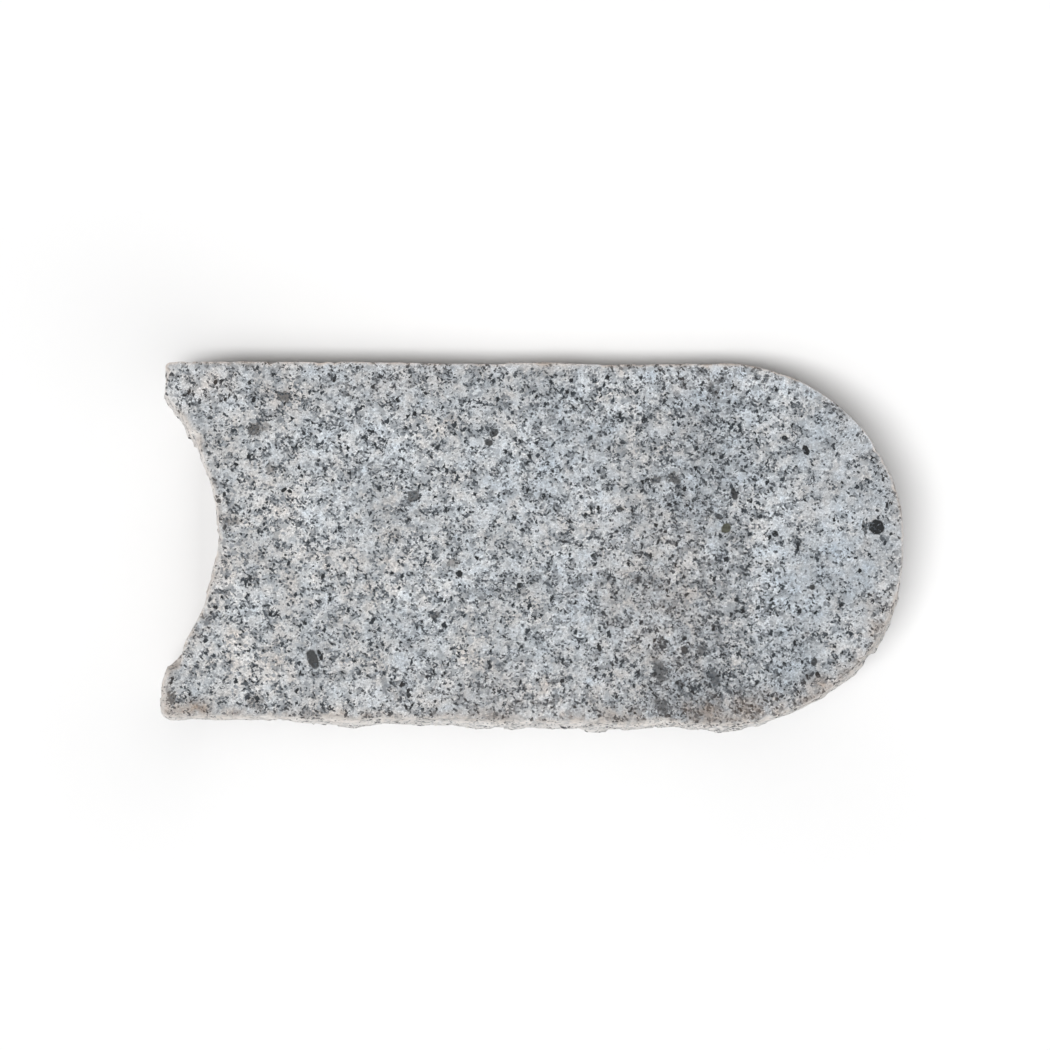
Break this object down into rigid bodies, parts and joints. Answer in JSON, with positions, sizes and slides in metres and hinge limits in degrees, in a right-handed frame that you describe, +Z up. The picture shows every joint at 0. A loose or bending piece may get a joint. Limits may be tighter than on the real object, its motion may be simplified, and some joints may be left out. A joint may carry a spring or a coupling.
{
  "type": "granite kerb stone",
  "caption": "Low granite edging stone with sawn bed and tread and rough split sides; a round nose at one end turns in the hollow of the next stone, so a row follows a curve.",
  "frame": {"origin": "middle of the sawn bed: the bottom centre of the stone's box", "axes": "+X along the stone towards the round nose, +Y across it towards its back, +Z up from the bed to the tread"},
  "size_m": [0.2, 0.099, 0.05],
  "materials": {
    "granite": "pale grey granite with dark mica flecks, matt"
  },
  "bodies": {
    "root": {"kerb_stone": "granite"}
  },
  "joints": []
}
